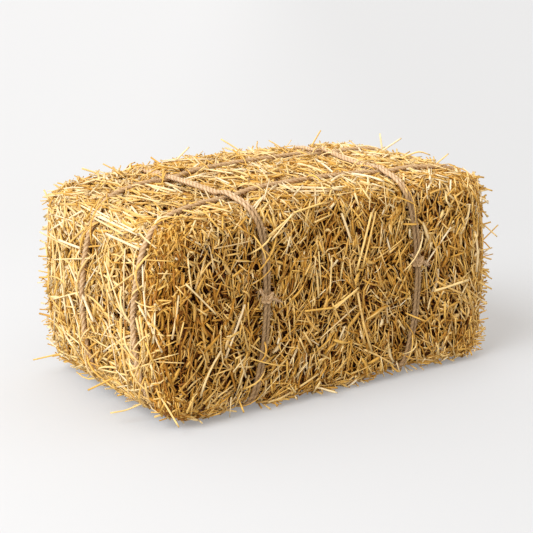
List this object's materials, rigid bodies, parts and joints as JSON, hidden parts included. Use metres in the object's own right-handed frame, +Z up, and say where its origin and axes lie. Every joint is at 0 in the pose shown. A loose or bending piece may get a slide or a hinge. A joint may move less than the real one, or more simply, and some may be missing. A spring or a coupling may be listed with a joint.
{
  "type": "square straw bale",
  "caption": "Small rectangular bale of pressed cereal straw, tied with lengthwise ropes and knotted cross twines, for bedding, seating, mulch or farm scenes.",
  "frame": {"origin": "centre of the underside, on the ground", "axes": "+X along the bale to its right end as seen from the knots, +Y from the knotted side to the back, +Z up"},
  "size_m": [0.9327, 0.5431, 0.4427],
  "materials": {
    "straw": "dry pressed straw, matte",
    "loose_straw": "single straw, satin",
    "rope": "twisted jute, matte",
    "twine": "twisted jute, matte"
  },
  "bodies": {
    "root": {"flake_01": "straw", "flake_02": "straw", "flake_03": "straw", "flake_04": "straw", "flake_05": "straw", "flake_06": "straw", "flake_07": "straw", "flake_08": "straw", "flake_09": "straw", "long_rope_front": "rope", "long_rope_back": "rope", "cross_twine_left": "twine", "cross_twine_right": "twine", "loose_stalk_01": "loose_straw", "loose_stalk_02": "loose_straw", "loose_stalk_03": "loose_straw", "loose_stalk_04": "loose_straw", "loose_stalk_05": "loose_straw", "loose_stalk_06": "loose_straw", "loose_stalk_07": "loose_straw", "loose_stalk_08": "loose_straw", "loose_stalk_09": "loose_straw", "loose_stalk_10": "loose_straw", "loose_stalk_11": "loose_straw", "loose_stalk_12": "loose_straw", "loose_stalk_13": "loose_straw", "loose_stalk_14": "loose_straw", "loose_stalk_15": "loose_straw", "loose_stalk_16": "loose_straw", "loose_stalk_17": "loose_straw", "loose_stalk_18": "loose_straw", "loose_stalk_19": "loose_straw", "loose_stalk_20": "loose_straw", "loose_stalk_21": "loose_straw", "loose_stalk_22": "loose_straw", "loose_stalk_23": "loose_straw", "loose_stalk_24": "loose_straw", "loose_stalk_25": "loose_straw", "loose_stalk_26": "loose_straw", "loose_stalk_27": "loose_straw", "loose_stalk_28": "loose_straw"}
  },
  "joints": []
}
